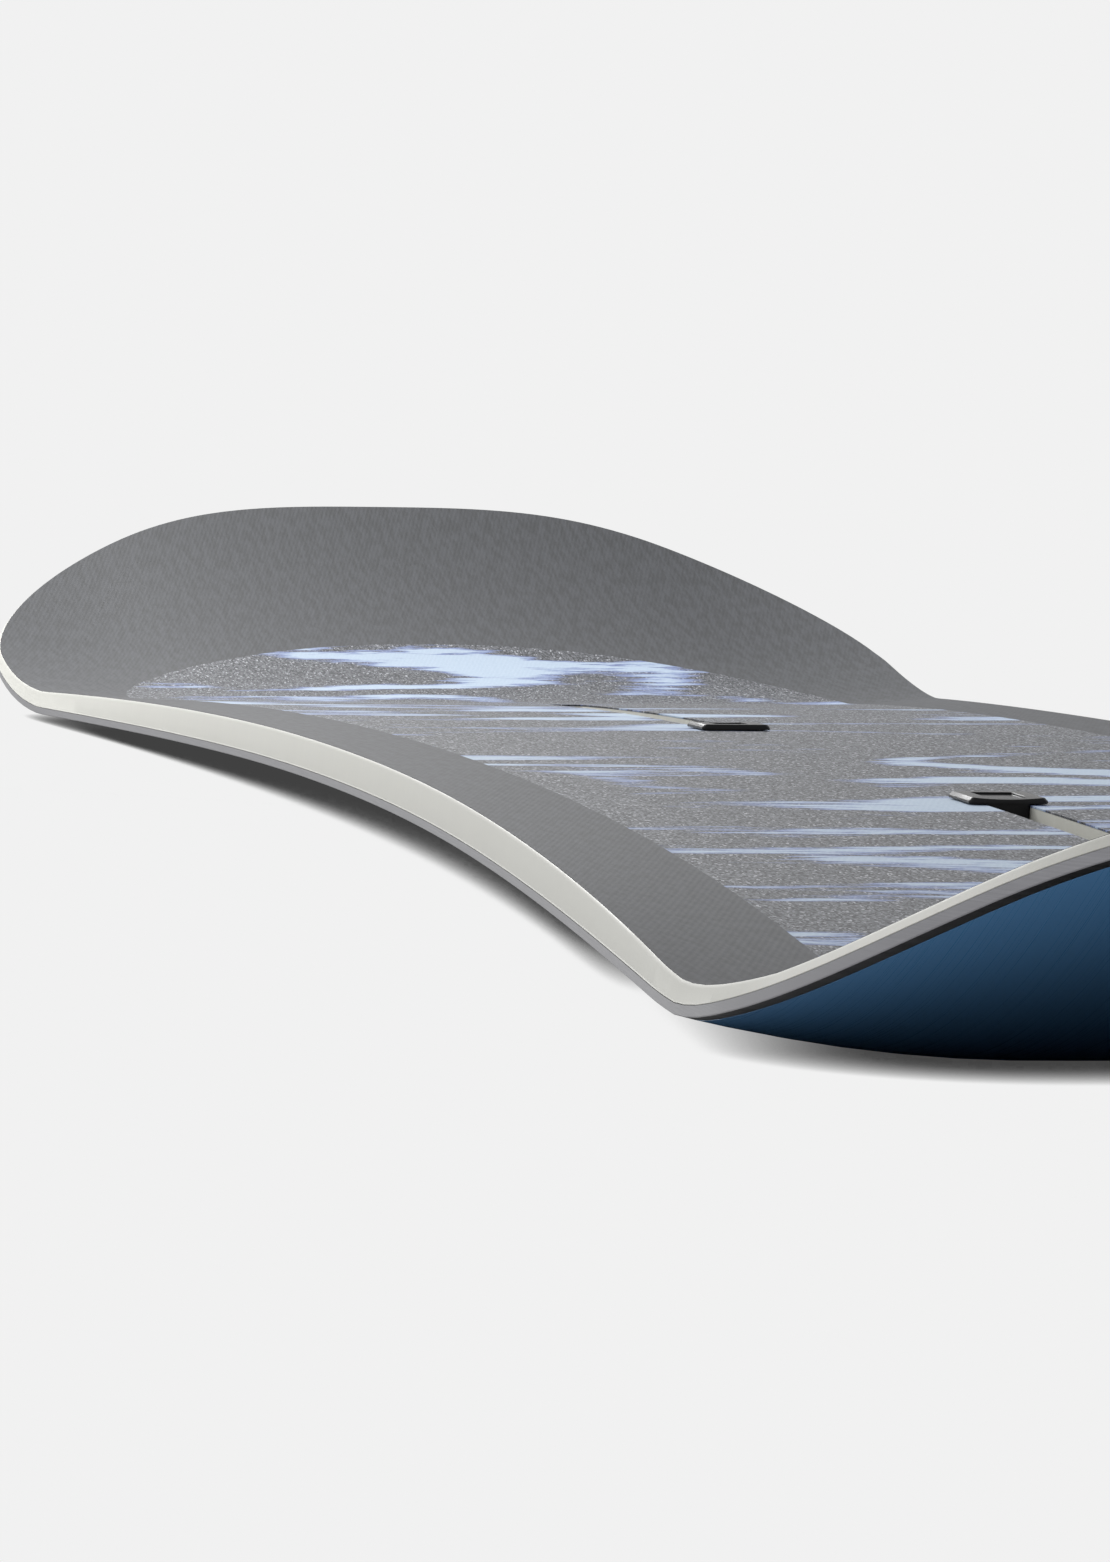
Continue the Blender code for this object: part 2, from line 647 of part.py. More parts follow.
def make_channels(cream, glass, black, zinc, sheet_finish):
    """Both binding channels, and the two layers that they open through."""
    cutters = []
    wide_cutters = []
    for end, sign in (("nose", 1), ("tail", -1)):
        span = channel_span(sign)
        plain = slot_cutters(end, span, 0)
        make_rail("channel_rail_" + end, span, plain, cream)
        cutters += plain
        wide_cutters += slot_cutters(end + "_wide", span, COLLAR_WALL + JOINT)
        make_plug("channel_plug_" + end, span, black)
        middle = (span.slot_start + span.slot_end) / 2
        make_nut("channel_nut_%s_inner" % end, middle - sign * NUT_SPREAD / 2, zinc)
        make_nut("channel_nut_%s_outer" % end, middle + sign * NUT_SPREAD / 2, zinc)
    make_top(cutters, wide_cutters, glass, sheet_finish)


def main():
    for item in list(bpy.data.objects):
        bpy.data.objects.remove(item, do_unlink=True)
    blue = material("base_blue", (0.05, 0.14, 0.28), 0.2)
    steel = material("edge_steel", (0.42, 0.42, 0.45), 0.35, 1.0)
    glass = material("glass_cloth", (0.30, 0.32, 0.28), 0.5)
    cream = material("cream_plastic", (0.68, 0.68, 0.64), 0.5)
    wood = material("core_wood", (0.55, 0.38, 0.22), 0.7)
    light_wood = material("core_light_wood", (0.70, 0.55, 0.36), 0.7)
    sheet_finish = material("dark_topsheet", (0.16, 0.165, 0.175), 0.45)
    black = material("black_plastic", (0.012, 0.012, 0.013), 0.35)
    zinc = material("zinc_plated", (0.55, 0.55, 0.57), 0.3, 1.0)
    make_base_and_edges(blue, steel, glass)
    make_sides(cream)
    make_core(wood, light_wood)
    make_channels(cream, glass, black, zinc, sheet_finish)


main()
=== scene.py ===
import math
from collections import namedtuple

import bmesh
import bpy
from mathutils import Matrix, Vector


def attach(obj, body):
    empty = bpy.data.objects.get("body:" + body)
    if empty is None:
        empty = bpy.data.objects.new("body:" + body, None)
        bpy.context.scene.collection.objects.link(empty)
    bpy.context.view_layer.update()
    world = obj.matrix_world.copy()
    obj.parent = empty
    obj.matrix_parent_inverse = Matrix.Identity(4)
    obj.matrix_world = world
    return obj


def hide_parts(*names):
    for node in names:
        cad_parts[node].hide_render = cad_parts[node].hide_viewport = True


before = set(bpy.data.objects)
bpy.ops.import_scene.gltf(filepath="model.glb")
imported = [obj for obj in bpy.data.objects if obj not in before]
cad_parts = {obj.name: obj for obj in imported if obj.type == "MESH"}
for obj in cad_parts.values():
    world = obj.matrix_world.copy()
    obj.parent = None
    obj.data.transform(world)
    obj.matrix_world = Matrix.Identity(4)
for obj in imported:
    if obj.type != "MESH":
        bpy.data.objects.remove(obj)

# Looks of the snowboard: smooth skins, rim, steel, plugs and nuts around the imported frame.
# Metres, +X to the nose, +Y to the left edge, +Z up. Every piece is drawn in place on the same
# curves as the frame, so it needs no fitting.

# Plan and height of the board
HALF_LENGTH = 0.780
WAIST_HALF_WIDTH = 0.1228
SIDECUT_EASE = 0.88
CAMBER = 0.0095
SPOON_LENGTH = 0.580
SPOON_EASE = 0.540
FLAT_BAND = 0.095
Tip = namedtuple("Tip", "length flare upturn bend spoon slope_ratio "
                        "shoulder_share blunt_x_share blunt_y_share end_share")
NOSE = Tip(length=0.1593, flare=0.0238, upturn=0.246, bend=0.233, spoon=0.00556, slope_ratio=0.449,
           shoulder_share=0.53, blunt_x_share=0.998, blunt_y_share=0.640, end_share=0.414)
TAIL = Tip(length=0.1761, flare=0.0295, upturn=0.213, bend=0.150, spoon=0.00892, slope_ratio=0.449,
           shoulder_share=0.226, blunt_x_share=0.880, blunt_y_share=0.902, end_share=0.689)
SPOON_START = HALF_LENGTH - SPOON_LENGTH
WIDEST_EDGE = WAIST_HALF_WIDTH + max(NOSE.flare, TAIL.flare)

# Layers
BASE_THICK = 0.0012
EDGE_HEIGHT = 0.0020
EDGE_WIDTH = 0.0020
TANG_THICK = 0.0005
TANG_LENGTH = 0.0045
TOPSHEET = 0.0004
THICK_MIDDLE = 0.0098
THICK_TIP = 0.0048
THIN_END = 0.140
TAPER_POWER = 3.3
GLUE_LINE = 0.0003
HAIRLINE = 0.0001
LAMINATE = 0.00035
RIM_BOTTOM = EDGE_HEIGHT + GLUE_LINE
CORE_BOTTOM = RIM_BOTTOM + LAMINATE + GLUE_LINE
RIM_TOP = TOPSHEET + GLUE_LINE
CORE_TOP = RIM_TOP + LAMINATE + GLUE_LINE
SIDEWALL_LEAN = 0.0015
SIDEWALL_DEPTH = 0.0090
UPPER_LIP_EDGE = 0.0032
LOWER_LIP = 0.0018
RIM_ROUND = 0.0005
SHEET_INSET = SIDEWALL_LEAN + HAIRLINE

# Channels, plugs and nuts
STANCE_SHIFT = -0.0015
PLUG_DISTANCE = 0.1573
CHANNEL_END = 0.4107
SLOT_WIDTH = 0.0100
RAIL_WIDTH = 0.0220
RAIL_WALL = 0.0025
COLLAR_WALL = 0.0015
RAIL_FLOOR = 0.0006
CAVITY_WIDTH = 0.0152
CAVITY_HEIGHT = 0.0026
CAVITY_BOTTOM = CORE_BOTTOM + RAIL_FLOOR
CAVITY_TOP = CAVITY_BOTTOM + CAVITY_HEIGHT
PLATE_LENGTH = 0.0215
PLATE_WIDTH = 0.0182
PLATE_THICK = 0.0014
PLATE_CHAMFER = 0.0008
PLATE_CORNER = 0.0006
PLATE_SOFT = 0.00014
DISH_LENGTH = 0.0080
DISH_DEPTH = 0.0004
RECESS_LENGTH = 0.0145
RECESS_WIDTH = 0.0095
RECESS_DEPTH = 0.0006
KEYHOLE_LENGTH = 0.0152
KEYHOLE_WIDTH = 0.0150
RUN_GAP = 0.0003
NUT_LENGTH = 0.0120
NUT_THICK = 0.0020
NUT_HOLE = 0.0062
NUT_CORNER = 0.0015
NUT_SOFT = 0.0002
NUT_SPREAD = 0.0450
SINK_DEPTH = 0.0004
SINK_WIDTH = 0.0005
SINK_CLEAR = 0.0001
HOLE_CLEAR = 0.0010

# Fineness of the drawn surfaces
SIDE_STEP = 0.012
TIP_STEPS = 48
LONG_CELL = 0.036
SHORT_CELL = 0.008
CROSS_CELL = 0.009
ROUND_STEPS = 10
DISH_STEPS = 14
CORNER_STEPS = 4
HOLE_SIDES = 48
SLOPE_STEP = 1e-5
LEAST_CORNER = 0.1
SNAP = 0.00002
CUTTER_CLEAR = 0.002
SHARP = math.radians(28)

# Camera of the photograph
IMAGE_HEIGHT = 1562
FOCAL_PIXELS = 7822.2
SENSOR = 36.0
CAMERA_PLACE = Vector((-1.8715, 0.3998, 0.1215))
CAMERA_YAW = math.radians(-9.890)
CAMERA_PITCH = math.radians(-3.254)
CAMERA_ROLL = math.radians(0.885)

# Panel of the topsheet: corner length in half widths, power of its roundness, soft edge
PANEL_CORNER = 1.15
PANEL_POWER = 2.2
PANEL_EDGE = 0.004

# Background, floor and room light
BACKGROUND = (0.88, 0.88, 0.88, 1)
FLOOR_SIZE = 60
ROOM_LIGHT = 0.45

# Shadow on the floor: its value at the tips and in the middle, and where along x one fades to the other
SHADOW_REACH = (0.008, 0.032)
DARK_SHARE = (0.03, 0.14)
PALE_SHARE = (0.44, 0.33)
TAIL_FADE = (-0.46, -0.28)
NOSE_FADE = (0.54, 0.40)
DARKEST = 0.06

# Wide shade under the board: its reach, and the open share at which floor and mirrored floor are black
DEEP_REACH = 0.210
FLOOR_BLACK = 0.40
MIRROR_BLACK = 0.30


# Curves of the board

def tip_at(x):
    """The tip on this side of the middle."""
    return NOSE if x >= 0 else TAIL


def widest(tip):
    """Distance from the middle to the tip's widest point."""
    return HALF_LENGTH - tip.length


def smooth(share):
    """Eased share between zero and one."""
    share = min(max(share, 0.0), 1.0)
    return share * share * (3 - 2 * share)


def base_height(x, y):
    """Running surface: camber, upturned tip and spooned edges."""
    tip = tip_at(x)
    contact = HALF_LENGTH - tip.upturn
    reach = abs(x)
    camber = CAMBER * (1 - min(reach / contact, 1.0) ** 2)
    past = max(reach - contact, 0.0)
    if past < tip.bend:
        rise = tip.slope_ratio * past ** 2 / (2 * tip.bend)
    else:
        rise = tip.slope_ratio * (past - tip.bend / 2)
    lift = smooth((reach - SPOON_START) / SPOON_EASE)
    off_band = max(abs(y) - FLAT_BAND, 0.0) / (WIDEST_EDGE - FLAT_BAND)
    return camber + rise + tip.spoon * lift * off_band ** 2


def thickness(x):
    """Height of all layers together, thinning towards the tips."""
    share = min(abs(x) / (HALF_LENGTH - THIN_END), 1.0)
    return THICK_TIP + (THICK_MIDDLE - THICK_TIP) * (1 - share ** TAPER_POWER)


def above_base(height):
    """Level at a height over the running surface."""
    return lambda x, y: base_height(x, y) + height


def below_top(depth):
    """Level at a depth under the topsheet's face."""
    return lambda x, y: base_height(x, y) + thickness(x) - depth


def side_half_width(reach, tip):
    """Half width of the sidecut: a parabola that eases into the widest point."""
    share = reach / widest(tip)
    scale = 1 / (SIDECUT_EASE ** 2 + (1 - SIDECUT_EASE) * SIDECUT_EASE)
    if share < SIDECUT_EASE:
        grow = scale * share ** 2
    else:
        past = share - SIDECUT_EASE
        eased = past - past ** 2 / (2 * (1 - SIDECUT_EASE))
        grow = scale * (SIDECUT_EASE ** 2 + 2 * SIDECUT_EASE * eased)
    return WAIST_HALF_WIDTH + tip.flare * grow


def tip_curve(tip, t):
    """Point on the tip's outline, a Bezier curve of five points from the widest point to the end."""
    start = widest(tip)
    half_width = WAIST_HALF_WIDTH + tip.flare
    points = [
        (start, half_width),
        (start + tip.shoulder_share * tip.length, half_width),
        (start + tip.blunt_x_share * tip.length, tip.blunt_y_share * half_width),
        (HALF_LENGTH, tip.end_share * half_width),
        (HALF_LENGTH, 0.0),
    ]
    weights = [math.comb(4, i) * (1 - t) ** (4 - i) * t ** i for i in range(5)]
    return Vector((sum(w * p[0] for w, p in zip(weights, points)),
                   sum(w * p[1] for w, p in zip(weights, points))))


def quarter_rim(tip, sign):
    """Rim points from the waist to one tip with their outward normals, on the left side."""
    near = SLOPE_STEP
    rim = []
    steps = round(widest(tip) / SIDE_STEP)
    for i in range(steps):
        reach = widest(tip) * i / steps
        rise = side_half_width(reach + near, tip) - side_half_width(max(reach - near, 0), tip)
        outward = Vector((-rise / (2 * near), 1)).normalized()
        rim.append((Vector((reach, side_half_width(reach, tip))), outward))
    for i in range(TIP_STEPS + 1):
        t = i / TIP_STEPS
        along = tip_curve(tip, min(t + near, 1.0)) - tip_curve(tip, max(t - near, 0.0))
        rim.append((tip_curve(tip, t), Vector((abs(along.y), abs(along.x))).normalized()))
    return [(Vector((p.x * sign, p.y)), Vector((n.x * sign, n.y))) for p, n in rim]


def left_rim():
    """Rim points of the left side, from the tail's end to the nose's end."""
    return quarter_rim(TAIL, -1)[:0:-1] + quarter_rim(NOSE, 1)


def side_rim():
    """Rim between the two widest points."""
    first, last = -widest(TAIL) - SNAP, widest(NOSE) + SNAP
    return [entry for entry in left_rim() if first < entry[0].x < last]


def whole_outline(inset):
    """Closed outline of the board, moved in from the edge."""
    left = [p - n * inset for p, n in left_rim()]
    return left + [Vector((p.x, -p.y)) for p in left[-2:0:-1]]


def tip_outline(sign):
    """Closed outline of one tip beyond its widest point, as a function of the inset."""
    tip = NOSE if sign > 0 else TAIL
    rim = [entry for entry in quarter_rim(tip, sign) if abs(entry[0].x) >= widest(tip) - SNAP]

    def outline(inset):
        left = [p - n * inset for p, n in rim]
        return left + [Vector((p.x, -p.y)) for p in left[-2::-1]]

    return outline


def bar_outline(x0, x1, half_width, corner):
    """Closed outline of a bar with round corners, as a function of the inset."""
    def outline(inset):
        low, high = min(x0, x1) + inset, max(x0, x1) - inset
        half = half_width - inset
        radius = max(corner - inset, corner * LEAST_CORNER)
        points = []
        for cx, cy, turn in ((high - radius, half - radius, 0), (low + radius, half - radius, 1),
                             (low + radius, radius - half, 2), (high - radius, radius - half, 3)):
            for i in range(ROUND_STEPS + 1):
                angle = (turn + i / ROUND_STEPS) * math.pi / 2
                point = Vector((cx + radius * math.cos(angle), cy + radius * math.sin(angle)))
                if all((point - other).length > SNAP for other in points[-1:] + points[:1]):
                    points.append(point)
        return points

    return outline


# Mesh helpers

def add_object(name, bm, finish=None):
    """New object from a finished mesh, smooth apart from its sharp corners."""
    bmesh.ops.recalc_face_normals(bm, faces=bm.faces)
    mesh = bpy.data.meshes.new(name)
    bm.to_mesh(mesh)
    bm.free()
    if finish:
        mesh.materials.append(finish)
    mesh.shade_smooth()
    mesh.set_sharp_from_angle(angle=SHARP)
    made = bpy.data.objects.new(name, mesh)
    bpy.context.scene.collection.objects.link(made)
    return made


def dress(piece, slot, *nodes, body="board"):
    """Let a finished piece stand for its nodes, on their body."""
    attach(piece, body)
    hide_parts(*nodes)
    return piece


def skin_rings(bm, rings):
    """Bridge a row of point rings and close both ends."""
    loops = []
    for ring in rings:
        verts = [bm.verts.new(point) for point in ring]
        loops.append([bm.edges.new((a, b)) for a, b in zip(verts, verts[1:] + verts[:1])])
    for first, second in zip(loops, loops[1:]):
        bmesh.ops.bridge_loops(bm, edges=first + second)
    for loop in (loops[0], loops[-1]):
        bmesh.ops.contextual_create(bm, geom=loop)


def cut_grid(bm, low, high):
    """Cut a flat drawn layer into small cells, closer in the curved ends."""
    lines = []
    x = LONG_CELL / 2
    while x < HALF_LENGTH:
        lines += [(x, 0), (-x, 0)]
        x += LONG_CELL if x < SPOON_START else SHORT_CELL
    steps = int(WIDEST_EDGE / CROSS_CELL)
    lines += [(0, CROSS_CELL * i) for i in range(-steps, steps + 1)]
    for x, y in lines:
        if x and not low < x < high:
            continue
        geom = bm.faces[:] + bm.edges[:] + bm.verts[:]
        normal = (1, 0, 0) if x else (0, 1, 0)
        bmesh.ops.bisect_plane(bm, geom=geom, dist=SNAP, plane_co=(x, y, 0), plane_no=normal)


def layer(name, outline, loops, levels, finish=None):
    """Body drawn flat as a stack of outlines, cut into cells and lifted onto its levels.

    A loop is an inset and the number of its level; a face between two loops lies between their levels.
    """
    bm = bmesh.new()
    skin_rings(bm, [[(p.x, p.y, level) for p in outline(inset)] for inset, level in loops])
    cut_grid(bm, min(v.co.x for v in bm.verts), max(v.co.x for v in bm.verts))
    for vert in bm.verts:
        below = min(int(vert.co.z), len(levels) - 2)
        low = levels[below](vert.co.x, vert.co.y)
        high = levels[below + 1](vert.co.x, vert.co.y)
        vert.co.z = low + (high - low) * (vert.co.z - below)
    return add_object(name, bm, finish)


def swept_strip(name, rim, side, section, finish, centre_gap=0.0):
    """Strip of even section along the rim on one side; the section is a list of (inset, level)."""
    bm = bmesh.new()
    rings = []
    for point, normal in rim:
        ring = []
        for inset, level in section:
            place = point - normal * inset
            y = side * max(place.y, centre_gap)
            ring.append((place.x, y, level(place.x, y)))
        rings.append(ring)
    skin_rings(bm, rings)
    return add_object(name, bm, finish)


def reshape(piece, operation, *tools):
    """Cut tools out of a piece or join them on, and keep only the result."""
    for tool in tools:
        modifier = piece.modifiers.new(tool.name, "BOOLEAN")
        modifier.operation = operation
        modifier.solver = "EXACT"
        modifier.object = tool
    bpy.context.view_layer.update()
    shaped = bpy.data.meshes.new_from_object(piece.evaluated_get(bpy.context.evaluated_depsgraph_get()))
    piece.modifiers.clear()
    piece.data = shaped
    shaped.shade_smooth()
    shaped.set_sharp_from_angle(angle=SHARP)
    for tool in tools:
        bpy.data.objects.remove(tool)


# Node helpers

def shader_group(name, inputs, outputs):
    """Empty shader node group with value and vector sockets."""
    kinds = {"value": "NodeSocketFloat", "vector": "NodeSocketVector"}
    group = bpy.data.node_groups.new(name, "ShaderNodeTree")
    for label, kind, default in inputs:
        socket = group.interface.new_socket(label, in_out="INPUT", socket_type=kinds[kind])
        if default is not None:
            socket.default_value = default
    for label, kind in outputs:
        group.interface.new_socket(label, in_out="OUTPUT", socket_type=kinds[kind])
    return group, group.nodes.new("NodeGroupInput"), group.nodes.new("NodeGroupOutput")


def put(tree, kind, sockets=None, **settings):
    """New node with its settings; a socket takes a value or another node's output."""
    node = tree.nodes.new(kind)
    for key, value in settings.items():
        setattr(node, key, value)
    for key, value in (sockets or {}).items():
        if isinstance(value, bpy.types.NodeSocket):
            tree.links.new(value, node.inputs[key])
        else:
            node.inputs[key].default_value = value
    return node


def calc(tree, operation, a, b=0.0, c=0.0):
    """Result of one sum on values."""
    return put(tree, "ShaderNodeMath", {0: a, 1: b, 2: c}, operation=operation).outputs[0]


def remap(tree, value, low, high, to_low=0.0, to_high=1.0, smooth_step=True):
    """Value moved from one range into another and held inside it."""
    kind = "SMOOTHSTEP" if smooth_step else "LINEAR"
    sockets = {"Value": value, "From Min": low, "From Max": high, "To Min": to_low, "To Max": to_high}
    return put(tree, "ShaderNodeMapRange", sockets, interpolation_type=kind).outputs["Result"]


def blend(tree, share, a, b):
    """Colour between a and b."""
    return put(tree, "ShaderNodeMix", {0: share, 6: a, 7: b}, data_type="RGBA").outputs[2]


def noise(tree, vector, scale, detail, rough=0.5):
    """Cloudy value between zero and one."""
    sockets = {"Vector": vector, "Scale": scale, "Detail": detail, "Roughness": rough}
    return put(tree, "ShaderNodeTexNoise", sockets).outputs["Fac"]


def stretched(tree, vector, scale, turn=(0.0, 0.0, 0.0)):
    """Coordinates turned and stretched for a longer or finer pattern."""
    sockets = {"Vector": vector, "Scale": scale, "Rotation": turn}
    return put(tree, "ShaderNodeMapping", sockets).outputs["Vector"]


def grain_group():
    """Fine grain of a moulded or coated surface."""
    group, entry, out = shader_group(
        "fine_grain",
        [("Vector", "vector", None), ("Scale", "value", None)],
        [("Height", "value")])
    height = noise(group, entry.outputs["Vector"], entry.outputs["Scale"], 3.0, 0.65)
    group.links.new(height, out.inputs["Height"])
    return group


def drawn_lines_group():
    """Long fine lines, such as a grinder, planer or brush leaves."""
    group, entry, out = shader_group(
        "drawn_lines",
        [("Vector", "vector", None), ("Stretch", "vector", None)],
        [("Value", "value")])
    factors = {0: entry.outputs["Vector"], 1: entry.outputs["Stretch"]}
    vector = put(group, "ShaderNodeVectorMath", factors, operation="MULTIPLY").outputs[0]
    group.links.new(noise(group, vector, 1.0, 4.0, 0.7), out.inputs["Value"])
    return group


def weave_group():
    """Diagonal twill of a cloth under resin."""
    group, entry, out = shader_group(
        "twill_weave",
        [("Vector", "vector", None), ("Pitch", "value", 0.0007)],
        [("Height", "value")])
    parts = put(group, "ShaderNodeSeparateXYZ", {0: entry.outputs["Vector"]})
    x = calc(group, "DIVIDE", parts.outputs[0], entry.outputs["Pitch"])
    y = calc(group, "DIVIDE", parts.outputs[1], entry.outputs["Pitch"])
    waves = []
    for along, across, height in ((0.27, 1.0, 1.0), (1.0, -0.4, 0.35)):
        lengthwise = calc(group, "MULTIPLY", x, along * math.pi)
        slant = calc(group, "ADD", lengthwise, calc(group, "MULTIPLY", y, across * math.pi))
        waves.append(calc(group, "MULTIPLY", calc(group, "SINE", slant), height))
    group.links.new(calc(group, "ADD", waves[0], waves[1]), out.inputs["Height"])
    return group


def panel_group():
    """Mask of the topsheet's inner panel: a long bar with round ends that follows the sidecut."""
    group, entry, out = shader_group(
        "inner_panel",
        [("Vector", "vector", None), ("Half Length", "value", 0.660), ("Half Width", "value", 0.096),
         ("Flare", "value", 0.060)],
        [("Mask", "value")])
    parts = put(group, "ShaderNodeSeparateXYZ", {0: entry.outputs["Vector"]})
    along = calc(group, "ABSOLUTE", parts.outputs[0])
    across = calc(group, "ABSOLUTE", parts.outputs[1])
    swell = calc(group, "MULTIPLY", calc(group, "MULTIPLY", along, along), entry.outputs["Flare"])
    half = calc(group, "ADD", entry.outputs["Half Width"], swell)
    corner = calc(group, "MULTIPLY", half, PANEL_CORNER)
    run = calc(group, "SUBTRACT", entry.outputs["Half Length"], corner)
    past = calc(group, "MAXIMUM", calc(group, "SUBTRACT", along, run), 0.0)
    round_x = calc(group, "POWER", calc(group, "DIVIDE", past, corner), PANEL_POWER)
    round_y = calc(group, "POWER", calc(group, "DIVIDE", across, half), PANEL_POWER)
    outside = calc(group, "SUBTRACT", calc(group, "ADD", round_x, round_y), 1.0)
    group.links.new(remap(group, outside, -PANEL_EDGE, PANEL_EDGE, 1.0, 0.0), out.inputs["Mask"])
    return group


def ripples_group():
    """Wandering broken bands, like ripples in blown snow: masks of their pale and of their blue paint."""
    group, entry, out = shader_group(
        "snow_ripples",
        [("Vector", "vector", None), ("Cover", "value", None)],
        [("Pale", "value"), ("Blue", "value")])
    place = entry.outputs["Vector"]
    wide = noise(group, stretched(group, place, (9.0, 4.5, 1.0), (0, 0, 0.25)), 1.0, 2.0, 0.45)
    patch = noise(group, stretched(group, place, (4.0, 6.0, 1.0), (0, 0, 1.1)), 1.0, 1.0, 0.4)
    ragged = noise(group, stretched(group, place, (190.0, 30.0, 1.0), (0, 0, 0.25)), 1.0, 4.0, 0.7)
    ripple = calc(group, "SINE", calc(group, "MULTIPLY", wide, 38.0))
    body = calc(group, "MULTIPLY_ADD", calc(group, "SUBTRACT", patch, 0.5), 5.5, ripple)
    body = calc(group, "MULTIPLY_ADD", calc(group, "SUBTRACT", ragged, 0.5), 3.4, body)
    body = calc(group, "ADD", body, entry.outputs["Cover"])
    group.links.new(remap(group, body, 0.60, 0.95), out.inputs["Pale"])
    group.links.new(remap(group, body, 0.30, 0.70), out.inputs["Blue"])
    return group


# Shared effects by their names
GROUPS = {}


def effect(tree, name, **sockets):
    """One of the shared effects with its own values."""
    return put(tree, "ShaderNodeGroup", sockets, node_tree=GROUPS[name])


def start_material(name, roughness, metallic=0.0, **plain):
    """Material with its shader, its tree and the piece's own coordinates."""
    made = bpy.data.materials.new(name)
    made.use_nodes = True
    tree = made.node_tree
    shader = tree.nodes["Principled BSDF"]
    shader.inputs["Roughness"].default_value = roughness
    shader.inputs["Metallic"].default_value = metallic
    for key, value in plain.items():
        shader.inputs[key.replace("_", " ")].default_value = value
    place = put(tree, "ShaderNodeTexCoord").outputs["Object"]
    return made, tree, shader, place


def bump(tree, shader, height, distance, strength=1.0):
    """Fine relief of a surface."""
    node = put(tree, "ShaderNodeBump", {"Height": height, "Distance": distance, "Strength": strength})
    tree.links.new(node.outputs["Normal"], shader.inputs["Normal"])


def feed(tree, shader, **sockets):
    """Lead values and colours into the material's shader."""
    for key, socket in sockets.items():
        tree.links.new(socket, shader.inputs[key.replace("_", " ")])


# Finishes

def topsheet_finish():
    """Satin dark sheet with a twill border and a flecked inner panel with pale and blue ripples."""
    made, tree, shader, place = start_material("dark_topsheet", 0.6, Specular_IOR_Level=0.35)
    weave = effect(tree, "twill_weave", Vector=place).outputs["Height"]
    panel = effect(tree, "inner_panel", Vector=place).outputs["Mask"]
    ripples = effect(tree, "snow_ripples", Vector=place, Cover=-0.20)
    grain = effect(tree, "fine_grain", Vector=place, Scale=700.0).outputs["Height"]
    spots = stretched(tree, place, (850.0, 2200.0, 1.0))
    cells = put(tree, "ShaderNodeTexVoronoi", {"Vector": spots, "Scale": 1.0}).outputs["Color"]
    fleck = put(tree, "ShaderNodeSeparateColor", {0: cells}).outputs[0]
    mottle = noise(tree, stretched(tree, place, (100.0, 520.0, 1.0)), 1.0, 4.0, 0.65)
    patches = remap(tree, mottle, 0.36, 0.64)
    dark = blend(tree, patches, (0.006, 0.008, 0.011, 1), (0.027, 0.030, 0.037, 1))
    dark = blend(tree, remap(tree, weave, -1.2, 1.2, 0.03, 0.13), dark, (0.070, 0.072, 0.078, 1))
    tone = remap(tree, fleck, 0.2, 1.0, smooth_step=False)
    speckle = blend(tree, tone, (0.004, 0.006, 0.010, 1), (0.110, 0.117, 0.136, 1))
    bright = calc(tree, "GREATER_THAN", fleck, 0.955)
    speckle = blend(tree, bright, speckle, (0.34, 0.35, 0.38, 1))
    color = blend(tree, panel, dark, speckle)
    blue = calc(tree, "MULTIPLY", ripples.outputs["Blue"], panel)
    pale = calc(tree, "MULTIPLY", ripples.outputs["Pale"], panel)
    color = blend(tree, blue, color, (0.14, 0.19, 0.38, 1))
    color = blend(tree, pale, color, (0.38, 0.47, 0.58, 1))
    gloss = remap(tree, calc(tree, "MULTIPLY", fleck, panel), 0.0, 1.0, 0.68, 0.50)
    feed(tree, shader, Base_Color=color, Roughness=gloss)
    relief = calc(tree, "ADD", calc(tree, "MULTIPLY", weave, 0.14), grain)
    bump(tree, shader, relief, 0.00004)
    return made


def cream_finish():
    """Milled cream plastic with fine upright cutter marks."""
    made, tree, shader, place = start_material("cream_plastic", 0.5, Specular_IOR_Level=0.3)
    lines = effect(tree, "drawn_lines", Vector=place, Stretch=(700.0, 700.0, 40.0)).outputs["Value"]
    clouds = noise(tree, place, 40.0, 3.0)
    color = blend(tree, lines, (0.48, 0.48, 0.445, 1), (0.62, 0.62, 0.58, 1))
    color = blend(tree, calc(tree, "MULTIPLY", clouds, 0.25), color, (0.48, 0.47, 0.43, 1))
    feed(tree, shader, Base_Color=color, Roughness=remap(tree, lines, 0.2, 0.8, 0.42, 0.60))
    bump(tree, shader, lines, 0.00003)
    return made


def steel_finish():
    """Ground steel with scratches along the edge."""
    made, tree, shader, place = start_material("edge_steel", 0.35, 1.0)
    lines = effect(tree, "drawn_lines", Vector=place, Stretch=(60.0, 60.0, 4000.0)).outputs["Value"]
    clouds = noise(tree, place, 60.0, 3.0)
    color = blend(tree, lines, (0.16, 0.16, 0.172, 1), (0.31, 0.31, 0.33, 1))
    color = blend(tree, calc(tree, "MULTIPLY", clouds, 0.3), color, (0.175, 0.172, 0.178, 1))
    feed(tree, shader, Base_Color=color, Roughness=remap(tree, lines, 0.2, 0.8, 0.28, 0.45))
    bump(tree, shader, lines, 0.00001)
    return made


